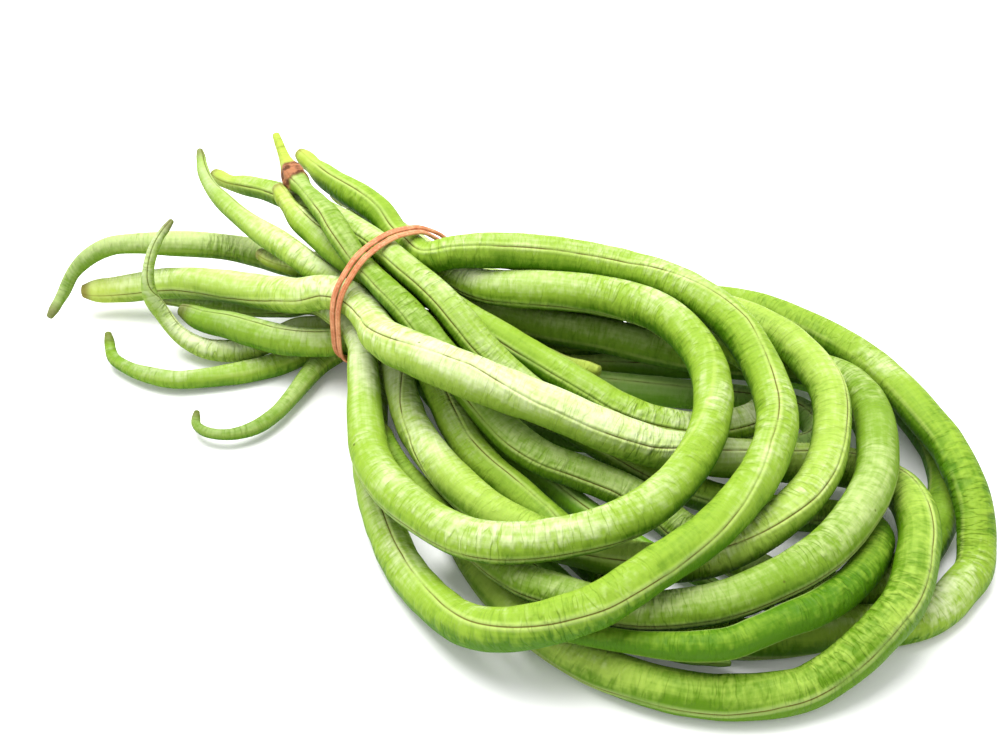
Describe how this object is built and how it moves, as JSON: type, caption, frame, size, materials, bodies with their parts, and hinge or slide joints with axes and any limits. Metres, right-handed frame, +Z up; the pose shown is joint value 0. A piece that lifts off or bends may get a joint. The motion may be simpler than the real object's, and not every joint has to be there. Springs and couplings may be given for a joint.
{
  "type": "yardlong bean bunch",
  "caption": "Bunch of fresh yardlong beans doubled over into loose overlapping loops and held by a thin rubber band, lying on its side with curled tips and stem ends showing",
  "frame": {"origin": "middle of the footprint, on the surface that the bunch lies on", "axes": "+X runs along the bunch from the free ends to the loops, +Y to the side, +Z up"},
  "size_m": [0.2624, 0.1814, 0.0497],
  "materials": {
    "pod_fresh": "satin fresh pod skin",
    "pod_pale": "satin pale pod skin",
    "pod_deep": "satin deep green pod skin",
    "band": "matte natural rubber"
  },
  "bodies": {
    "root": {"pod_top_loop": "pod_fresh", "pod_upper_loop": "pod_fresh", "pod_third_loop": "pod_pale", "pod_wide_loop": "pod_deep", "pod_outer_loop": "pod_fresh", "pod_far_loop": "pod_deep", "pod_crossing_loop": "pod_pale", "pod_tight_bend": "pod_fresh", "pod_inner_loop": "pod_fresh", "pod_short_end": "pod_pale", "pod_low_loop": "pod_deep", "pod_low_middle": "pod_deep", "pod_low_back": "pod_deep", "pod_low_front": "pod_deep", "rubber_band": "band"}
  },
  "joints": []
}
